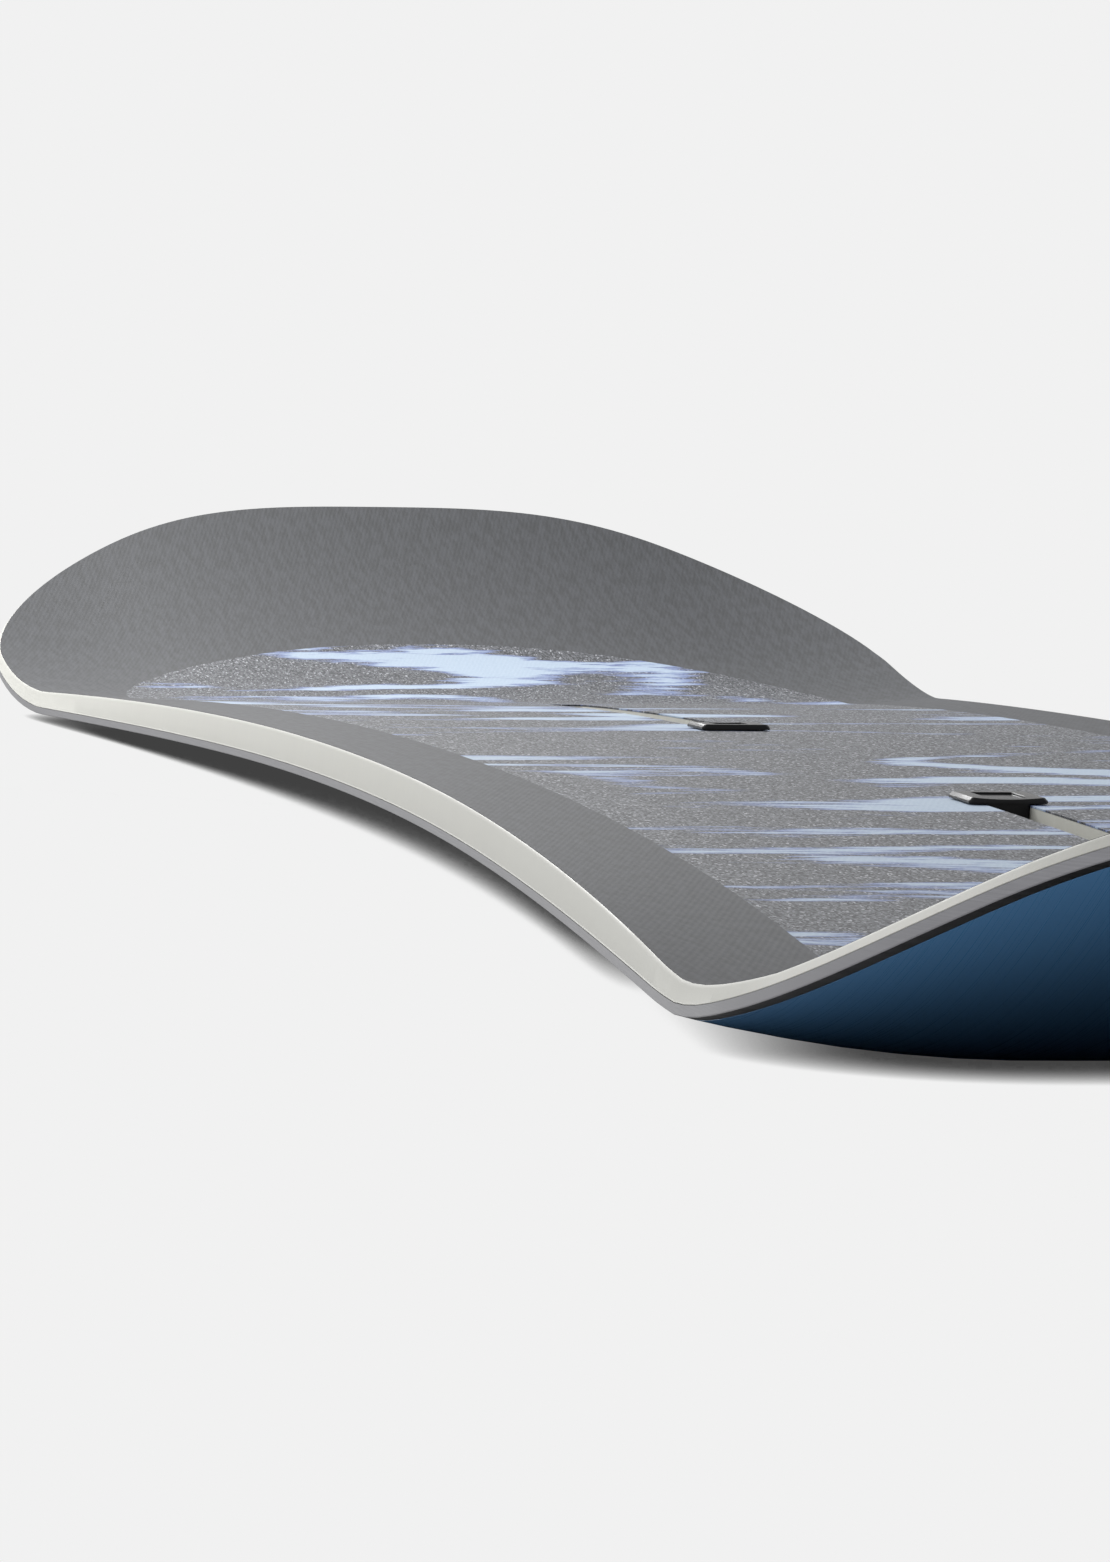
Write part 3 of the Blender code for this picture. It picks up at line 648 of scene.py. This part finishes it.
def base_finish():
    """Waxed blue base with a fine lengthwise stone grind."""
    made, tree, shader, place = start_material("base_blue", 0.2, Specular_IOR_Level=0.45)
    lines = effect(tree, "drawn_lines", Vector=place, Stretch=(3.0, 5200.0, 1.0)).outputs["Value"]
    clouds = noise(tree, place, 12.0, 3.0)
    color = blend(tree, lines, (0.124, 0.325, 0.63, 1), (0.129, 0.338, 0.652, 1))
    color = blend(tree, calc(tree, "MULTIPLY", clouds, 0.3), color, (0.108, 0.290, 0.57, 1))
    feed(tree, shader, Base_Color=color, Roughness=remap(tree, lines, 0.2, 0.8, 0.27, 0.285))
    bump(tree, shader, clouds, 0.00002, 0.3)
    return made


def moulded_finish(name, dark, light, roughness):
    """Moulded plastic with a fine grain."""
    made, tree, shader, place = start_material(name, roughness, Specular_IOR_Level=0.2)
    grain = effect(tree, "fine_grain", Vector=place, Scale=2600.0).outputs["Height"]
    feed(tree, shader, Base_Color=blend(tree, grain, (*dark, 1), (*light, 1)),
         Roughness=remap(tree, grain, 0.3, 0.7, roughness - 0.06, roughness + 0.08))
    bump(tree, shader, grain, 0.00003)
    return made


def zinc_finish():
    """Zinc plate with faint blotches."""
    made, tree, shader, place = start_material("zinc_plated", 0.3, 1.0)
    clouds = noise(tree, place, 420.0, 4.0, 0.6)
    color = blend(tree, clouds, (0.42, 0.42, 0.44, 1), (0.66, 0.66, 0.68, 1))
    feed(tree, shader, Base_Color=color, Roughness=remap(tree, clouds, 0.2, 0.8, 0.22, 0.42))
    bump(tree, shader, clouds, 0.00001)
    return made


def wood_finish(name, dark, light):
    """Planed core wood with its grain along the board."""
    made, tree, shader, place = start_material(name, 0.7)
    rings = effect(tree, "drawn_lines", Vector=place, Stretch=(5.0, 180.0, 180.0)).outputs["Value"]
    pores = effect(tree, "drawn_lines", Vector=place, Stretch=(30.0, 1500.0, 1500.0)).outputs["Value"]
    share = calc(tree, "MULTIPLY_ADD", rings, 0.7, calc(tree, "MULTIPLY", pores, 0.3))
    feed(tree, shader, Base_Color=blend(tree, remap(tree, share, 0.3, 0.7), (*dark, 1), (*light, 1)))
    bump(tree, shader, pores, 0.00005)
    return made


def glass_cloth_finish():
    """Resin-bonded glass cloth."""
    made, tree, shader, place = start_material("glass_cloth", 0.5)
    weave = effect(tree, "twill_weave", Vector=place, Pitch=0.0015).outputs["Height"]
    shade = remap(tree, weave, -1.0, 1.0)
    feed(tree, shader, Base_Color=blend(tree, shade, (0.22, 0.24, 0.20, 1), (0.36, 0.38, 0.33, 1)))
    bump(tree, shader, weave, 0.00006)
    return made


# Pieces

def sheet_layer(name, inset, bottom, top, finish=None):
    """Layer of the whole board's outline between two levels."""
    return layer(name, whole_outline, [(inset, 0), (inset, 1)], [bottom, top], finish)


def make_base(finish):
    """Base sheet and the steel edges round it."""
    blue, steel = finish["base_blue"], finish["edge_steel"]
    base = sheet_layer("blue_base", EDGE_WIDTH + HAIRLINE, above_base(0), above_base(BASE_THICK), blue)
    dress(base, "base_blue", "base_sheet")
    tang = EDGE_HEIGHT - TANG_THICK
    tang_end = EDGE_WIDTH + TANG_LENGTH
    section = [
        (RUN_GAP / 2, above_base(0)),
        (EDGE_WIDTH, above_base(0)),
        (EDGE_WIDTH, above_base(tang)),
        (tang_end, above_base(tang)),
        (tang_end, above_base(EDGE_HEIGHT)),
        (0, above_base(EDGE_HEIGHT)),
        (0, above_base(RUN_GAP / 2)),
    ]
    for name, side in (("left", 1), ("right", -1)):
        edge = swept_strip("steel_edge_" + name, left_rim(), side, section, steel, HAIRLINE / 2)
        dress(edge, "edge_steel", "edge_" + name)


def make_rim(finish):
    """Sidewalls and tip spacers, with the same rounded crown."""
    cream = finish["cream_plastic"]
    lip = TOPSHEET + HAIRLINE / 2
    seat = SHEET_INSET - HAIRLINE / 2
    rim_foot = EDGE_HEIGHT + HAIRLINE
    # Insets and depths of the crown, from the topsheet's seat outwards
    crown = [
        (seat, RIM_ROUND * 0.2),
        (SIDEWALL_LEAN - RIM_ROUND * 0.1, RIM_ROUND * 0.3),
        (SIDEWALL_LEAN - RIM_ROUND * 0.5, RIM_ROUND * 0.8),
        (SIDEWALL_LEAN - RIM_ROUND, RIM_ROUND * 1.7),
    ]
    section = [
        (LOWER_LIP, above_base(rim_foot)),
        (LOWER_LIP, above_base(CORE_BOTTOM)),
        (SIDEWALL_DEPTH, above_base(CORE_BOTTOM)),
        (SIDEWALL_DEPTH, below_top(CORE_TOP)),
        (UPPER_LIP_EDGE, below_top(CORE_TOP)),
        (UPPER_LIP_EDGE, below_top(lip)),
        (seat, below_top(lip)),
        *((inset, below_top(depth)) for inset, depth in crown),
        (RIM_ROUND * 0.3, above_base(rim_foot + RIM_ROUND * 0.6)),
        (0, above_base(rim_foot + HAIRLINE)),
        (HAIRLINE / 2, above_base(rim_foot)),
    ]
    for name, side in (("left", 1), ("right", -1)):
        wall = swept_strip("cream_sidewall_" + name, side_rim(), side, section, cream)
        dress(wall, "cream_plastic", "sidewall_" + name)
    upwards = crown[::-1]
    levels = [above_base(rim_foot), above_base(rim_foot + HAIRLINE)]
    levels += [below_top(depth) for inset, depth in upwards]
    loops = [(HAIRLINE / 2, 0), (0, 1)] + [(inset, i + 2) for i, (inset, depth) in enumerate(upwards)]
    under, over = above_base(rim_foot - CUTTER_CLEAR), below_top(-CUTTER_CLEAR)
    for name, sign in (("nose", 1), ("tail", -1)):
        spacer = layer("cream_spacer_" + name, tip_outline(sign), loops, levels, cream)
        pockets = [
            sheet_layer("lower_pocket", LOWER_LIP, under, above_base(CORE_BOTTOM)),
            sheet_layer("upper_pocket", UPPER_LIP_EDGE, below_top(CORE_TOP), over),
            sheet_layer("sheet_seat", seat, below_top(lip), over),
        ]
        reshape(spacer, "DIFFERENCE", *pockets)
        dress(spacer, "cream_plastic", name + "_spacer")


Span = namedtuple("Span", "sign plug key_in key_out slot_start slot_end rail_in rail_out")


def channel_span(sign):
    """Where one channel's plug and slot lie along the board."""
    plug = STANCE_SHIFT + sign * PLUG_DISTANCE
    slot_end = STANCE_SHIFT + sign * CHANNEL_END
    key_in = plug - sign * KEYHOLE_LENGTH / 2
    return Span(sign=sign, plug=plug, key_in=key_in, key_out=plug + sign * KEYHOLE_LENGTH / 2,
                slot_start=plug + sign * PLATE_LENGTH / 2, slot_end=slot_end,
                rail_in=key_in - sign * RAIL_WALL, rail_out=slot_end + sign * RAIL_WALL)


def block(name, outline, bottom, top, finish=None):
    """Body of one outline between two levels."""
    return layer(name, outline, [(0, 0), (0, 1)], [bottom, top], finish)


def slot_cutters(name, span):
    """Cutters for a slot and its keyhole, down to the underside of the rail's lips."""
    bottom, top = above_base(CAVITY_TOP - GLUE_LINE), below_top(-CUTTER_CLEAR)
    slot = bar_outline(span.plug, span.slot_end, SLOT_WIDTH / 2, SLOT_WIDTH / 2)
    key = bar_outline(span.key_in, span.key_out, KEYHOLE_WIDTH / 2, NUT_CORNER)
    return [block(name + "_slot", slot, bottom, top), block(name + "_keyhole", key, bottom, top)]


def make_topsheet(finish):
    """Topsheet with both slots and keyholes cut out."""
    bottom, top = below_top(TOPSHEET), below_top(0)
    sheet = sheet_layer("topsheet_skin", SHEET_INSET, bottom, top, finish["dark_topsheet"])
    cutters = slot_cutters("nose", channel_span(1)) + slot_cutters("tail", channel_span(-1))
    reshape(sheet, "DIFFERENCE", *cutters)
    dress(sheet, "dark_topsheet", "topsheet")


def make_rail(end, span, finish):
    """Channel rail: a closed trough whose lips hold the nuts down, with a collar that lines the slot."""
    sign = span.sign
    body = bar_outline(span.rail_in, span.rail_out, RAIL_WIDTH / 2, RAIL_WALL)
    bottom, top = above_base(CORE_BOTTOM), below_top(CORE_TOP)
    rail = block("slot_rail_" + end, body, bottom, top, finish["cream_plastic"])
    collar_half = SLOT_WIDTH / 2 + COLLAR_WALL
    lining = bar_outline(span.key_out, span.slot_end + sign * COLLAR_WALL, collar_half, collar_half)
    collar = block("collar", lining, below_top(CORE_TOP + COLLAR_WALL / 2), below_top(TOPSHEET + HAIRLINE))
    reshape(rail, "UNION", collar)
    trough = bar_outline(span.key_in - sign * GLUE_LINE, span.slot_end, CAVITY_WIDTH / 2, NUT_CORNER)
    cavity = block("cavity", trough, above_base(CAVITY_BOTTOM), above_base(CAVITY_TOP))
    reshape(rail, "DIFFERENCE", cavity, *slot_cutters(end, span))
    dress(rail, "cream_plastic", "channel_rail_" + end)


def seat_matrix(x, height):
    """Place on the board at x, tilted to the camber there."""
    run = NUT_LENGTH / 2
    slope = (base_height(x + run, 0) - base_height(x - run, 0)) / (2 * run)
    return Matrix.Translation((x, 0, height)) @ Matrix.Rotation(-math.atan(slope), 4, "Y")


def rigid_bar(name, outline, loops, place, finish=None):
    """Small rigid piece: a stack of outlines at plain heights."""
    bm = bmesh.new()
    skin_rings(bm, [[(p.x, p.y, height) for p in outline(inset)] for inset, height in loops])
    bmesh.ops.transform(bm, matrix=place, verts=bm.verts)
    return add_object(name, bm, finish)


def plate_section(along, inset, sign):
    """Section across the plug's plate, this far from its middle towards the slot."""
    top = GLUE_LINE + PLATE_THICK - inset
    half = PLATE_WIDTH / 2 - max(abs(along) + PLATE_CORNER - PLATE_LENGTH / 2, 0.0)
    soft = PLATE_SOFT
    dip = DISH_DEPTH * smooth(1 - (PLATE_LENGTH / 2 - along) / DISH_LENGTH)
    shoulder = top - PLATE_CHAMFER
    points = [(-half + soft, GLUE_LINE), (half - soft, GLUE_LINE), (half, GLUE_LINE + soft),
              (half, shoulder - soft), (half - soft * 0.4, shoulder + soft * 0.4)]
    flat = half - PLATE_CHAMFER
    points.append((flat + soft * 0.7, top - soft * 0.7))
    for i in range(2 * DISH_STEPS + 1):
        across = 1 - i / DISH_STEPS
        points.append((across * (flat - soft * 0.6), top - dip * (1 - across ** 2)))
    points += [(-flat - soft * 0.7, top - soft * 0.7), (-half + soft * 0.4, shoulder + soft * 0.4),
               (-half, shoulder - soft), (-half, GLUE_LINE + soft)]
    return [(along * sign, y, z) for y, z in points]


def make_plate(name, sign, place, finish):
    """Plate with chamfered sides whose face dips at the slot."""
    end = PLATE_LENGTH / 2
    corner = [(end - PLATE_CORNER * (1 - i / CORNER_STEPS), 0) for i in range(CORNER_STEPS)]
    corner += [(end - PLATE_SOFT * 0.3, PLATE_SOFT * 0.3), (end, PLATE_SOFT)]
    dish_run = DISH_LENGTH - PLATE_CORNER
    dish = [(end - DISH_LENGTH + dish_run * i / DISH_STEPS, 0) for i in range(DISH_STEPS)]
    stations = [(-along, inset) for along, inset in corner[::-1]] + dish + corner
    bm = bmesh.new()
    skin_rings(bm, [plate_section(along, inset, sign) for along, inset in stations])
    bmesh.ops.transform(bm, matrix=place, verts=bm.verts)
    return add_object(name, bm, finish)


def make_plug(end, span, finish):
    """Plug: a recessed plate over the keyhole, a foot in the keyhole and a tongue in the slot's start."""
    place = seat_matrix(span.plug, base_height(span.plug, 0) + thickness(span.plug))
    top = GLUE_LINE + PLATE_THICK
    plate = make_plate("slot_plug_" + end, span.sign, place, finish["black_plastic"])
    outline = bar_outline(-RECESS_LENGTH / 2, RECESS_LENGTH / 2, RECESS_WIDTH / 2, PLATE_CORNER)
    floor = top - RECESS_DEPTH
    loops = [(PLATE_SOFT, floor), (0, floor + PLATE_SOFT), (0, top - PLATE_SOFT), (-PLATE_SOFT, top),
             (-PLATE_SOFT, top + CUTTER_CLEAR)]
    recess = rigid_bar("recess", outline, loops, place)
    reshape(plate, "DIFFERENCE", recess)
    depth = thickness(span.plug) - CAVITY_BOTTOM - GLUE_LINE
    overlap = GLUE_LINE + PLATE_THICK / 3
    foot_end = KEYHOLE_LENGTH / 2 - RUN_GAP
    foot_outline = bar_outline(-foot_end, foot_end, KEYHOLE_WIDTH / 2 - RUN_GAP, NUT_CORNER)
    foot = rigid_bar("foot", foot_outline, [(0, -depth), (0, overlap)], place)
    tongue_end = PLATE_LENGTH / 2 - RUN_GAP
    tongue_outline = bar_outline(0, span.sign * tongue_end, SLOT_WIDTH / 2 - RUN_GAP / 2, RUN_GAP)
    tongue = rigid_bar("tongue", tongue_outline, [(0, -depth), (0, overlap / 2)], place)
    reshape(plate, "UNION", foot, tongue)
    dress(plate, "black_plastic", "channel_plug_" + end, body="plug_" + end)


def make_nut(end, kind, x, finish):
    """Channel nut: a flat block with round corners and a countersunk threaded hole."""
    place = seat_matrix(x, base_height(x, 0) + CAVITY_BOTTOM + RUN_GAP)
    outline = bar_outline(-NUT_LENGTH / 2, NUT_LENGTH / 2, KEYHOLE_WIDTH / 2 - RUN_GAP, NUT_CORNER)
    loops = [(NUT_SOFT, 0), (0, NUT_SOFT), (0, NUT_THICK - NUT_SOFT), (NUT_SOFT, NUT_THICK)]
    nut = rigid_bar("slot_nut_%s_%s" % (end, kind), outline, loops, place, finish["zinc_plated"])

    def circle(inset):
        radius = NUT_HOLE / 2 - inset
        turns = [2 * math.pi * i / HOLE_SIDES for i in range(HOLE_SIDES)]
        return [Vector((radius * math.cos(turn), radius * math.sin(turn))) for turn in turns]

    loops = [(0, -HOLE_CLEAR), (0, NUT_THICK - SINK_DEPTH), (-SINK_WIDTH, NUT_THICK + SINK_CLEAR)]
    hole = rigid_bar("screw_hole", circle, loops, place)
    reshape(nut, "DIFFERENCE", hole)
    dress(nut, "zinc_plated", "channel_nut_%s_%s" % (end, kind), body="nut_%s_%s" % (end, kind))


def make_channels(finish):
    """Rail, plug and two nuts of each channel."""
    for end, sign in (("nose", 1), ("tail", -1)):
        span = channel_span(sign)
        make_rail(end, span, finish)
        make_plug(end, span, finish)
        middle = (span.slot_start + span.slot_end) / 2
        make_nut(end, "inner", middle - sign * NUT_SPREAD / 2, finish)
        make_nut(end, "outer", middle + sign * NUT_SPREAD / 2, finish)


def dress_inner_layers(nodes, finish):
    """Better finishes for the layers that stay inside."""
    inside = {
        "glass_cloth": ("edge_fill_ply", "lower_laminate", "upper_laminate"),
        "core_wood": ("core_left", "core_right"),
        "core_light_wood": ("core_centre_nose", "core_centre_middle", "core_centre_tail"),
    }
    for slot, names in inside.items():
        for name in names:
            for material_slot in nodes[name].material_slots:
                material_slot.material = finish[slot]


# Stage, light and camera

def make_stage():
    """Pale floor that shows the background's plain shade outside the board's own shadow."""
    bm = bmesh.new()
    bmesh.ops.create_grid(bm, x_segments=1, y_segments=1, size=FLOOR_SIZE)
    floor = add_object("floor", bm)
    made, tree, shader, place = start_material("floor_paint", 1.0, Specular_IOR_Level=0.0)
    rays = put(tree, "ShaderNodeLightPath").outputs
    deep = put(tree, "ShaderNodeAmbientOcclusion", {"Distance": DEEP_REACH}, samples=8).outputs["AO"]
    lit = remap(tree, deep, FLOOR_BLACK, 1.0)
    feed(tree, shader, Base_Color=blend(tree, lit, (0.01, 0.01, 0.012, 1), BACKGROUND))
    along = put(tree, "ShaderNodeSeparateXYZ", {0: place}).outputs[0]
    middle = calc(tree, "MINIMUM", remap(tree, along, *TAIL_FADE), remap(tree, along, *NOSE_FADE))
    reach, dark_to, pale_from = (calc(tree, "MULTIPLY_ADD", middle, inner - outer, outer)
                                 for outer, inner in (SHADOW_REACH, DARK_SHARE, PALE_SHARE))
    close = put(tree, "ShaderNodeAmbientOcclusion", {"Distance": reach}, samples=32).outputs["AO"]
    shadow = remap(tree, close, dark_to, pale_from, DARKEST, 1.0, smooth_step=False)
    shaded = blend(tree, shadow, (0, 0, 0, 1), BACKGROUND)
    seen = put(tree, "ShaderNodeEmission", {"Color": shaded}).outputs[0]
    mirrored = calc(tree, "MAXIMUM", rays["Is Glossy Ray"], rays["Is Transmission Ray"])
    mirrored = calc(tree, "MULTIPLY", mirrored, remap(tree, deep, MIRROR_BLACK, 1.0))
    share = calc(tree, "MAXIMUM", rays["Is Camera Ray"], mirrored)
    shown = put(tree, "ShaderNodeMixShader", {0: share, 1: shader.outputs[0], 2: seen})
    tree.links.new(shown.outputs[0], tree.nodes["Material Output"].inputs["Surface"])
    floor.data.materials.append(made)


def add_lamp(name, kind, energy, place, target):
    """Lamp at its place, aimed at the target."""
    data = bpy.data.lights.new(name, kind)
    data.energy = energy
    lamp = bpy.data.objects.new(name, data)
    bpy.context.scene.collection.objects.link(lamp)
    lamp.location = place
    lamp.rotation_euler = (Vector(place) - Vector(target)).to_track_quat("Z", "Y").to_euler()
    return data


def make_light():
    """Even room light, a soft lamp at the left of the nose and a background of plain pale grey."""
    world = bpy.data.worlds.new("studio")
    world.use_nodes = True
    bpy.context.scene.world = world
    tree = world.node_tree
    tree.nodes.clear()
    rays = put(tree, "ShaderNodeLightPath").outputs
    white = {"Color": (1, 1, 1, 1), "Strength": ROOM_LIGHT}
    room = put(tree, "ShaderNodeBackground", white).outputs[0]
    plain = {"Color": BACKGROUND, "Strength": 1.0}
    shown = put(tree, "ShaderNodeBackground", plain).outputs[0]
    seen = calc(tree, "MAXIMUM", rays["Is Camera Ray"], rays["Is Glossy Ray"])
    seen = calc(tree, "MAXIMUM", seen, rays["Is Transmission Ray"])
    mixed = put(tree, "ShaderNodeMixShader", {0: seen, 1: room, 2: shown})
    put(tree, "ShaderNodeOutputWorld", {0: mixed.outputs[0]})
    wall = add_lamp("left_wall", "SUN", energy=0.8, place=(0.3, 1.0, 0.55), target=(0, 0, 0))
    wall.angle = math.radians(40)
    box = add_lamp("soft_box", "AREA", energy=24.0, place=(1.45, 0.35, 0.95), target=(0.65, 0.1, 0))
    box.shape = "SQUARE"
    box.size = 0.5


def make_camera():
    """Camera at the photograph's place and angle."""
    forward = Vector((math.cos(CAMERA_YAW) * math.cos(CAMERA_PITCH),
                      math.sin(CAMERA_YAW) * math.cos(CAMERA_PITCH), math.sin(CAMERA_PITCH)))
    level = forward.cross(Vector((0, 0, 1))).normalized()
    upright = level.cross(forward)
    right = level * math.cos(CAMERA_ROLL) + upright * math.sin(CAMERA_ROLL)
    up = upright * math.cos(CAMERA_ROLL) - level * math.sin(CAMERA_ROLL)
    data = bpy.data.cameras.new("camera")
    data.sensor_width = SENSOR
    data.lens = FOCAL_PIXELS / IMAGE_HEIGHT * SENSOR
    data.clip_start = 0.05
    data.clip_end = 200
    camera = bpy.data.objects.new("camera", data)
    bpy.context.scene.collection.objects.link(camera)
    turn = Matrix((right, up, -forward)).transposed().to_4x4()
    camera.matrix_world = Matrix.Translation(CAMERA_PLACE) @ turn
    bpy.context.scene.camera = camera


def main():
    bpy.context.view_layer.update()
    make_camera()
    for maker in (grain_group, drawn_lines_group, weave_group, panel_group, ripples_group):
        group = maker()
        GROUPS[group.name] = group
    finish = {
        "base_blue": base_finish(),
        "edge_steel": steel_finish(),
        "glass_cloth": glass_cloth_finish(),
        "cream_plastic": cream_finish(),
        "core_wood": wood_finish("core_wood", (0.42, 0.27, 0.15), (0.60, 0.43, 0.26)),
        "core_light_wood": wood_finish("core_light_wood", (0.58, 0.44, 0.28), (0.74, 0.60, 0.42)),
        "dark_topsheet": topsheet_finish(),
        "black_plastic": moulded_finish("black_plastic", (0.002, 0.002, 0.0025),
                                        (0.006, 0.006, 0.007), 0.38),
        "zinc_plated": zinc_finish(),
    }
    make_base(finish)
    make_rim(finish)
    make_topsheet(finish)
    make_channels(finish)
    dress_inner_layers(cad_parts, finish)
    make_stage()
    make_light()
    bpy.context.scene.view_settings.view_transform = "Standard"


main()
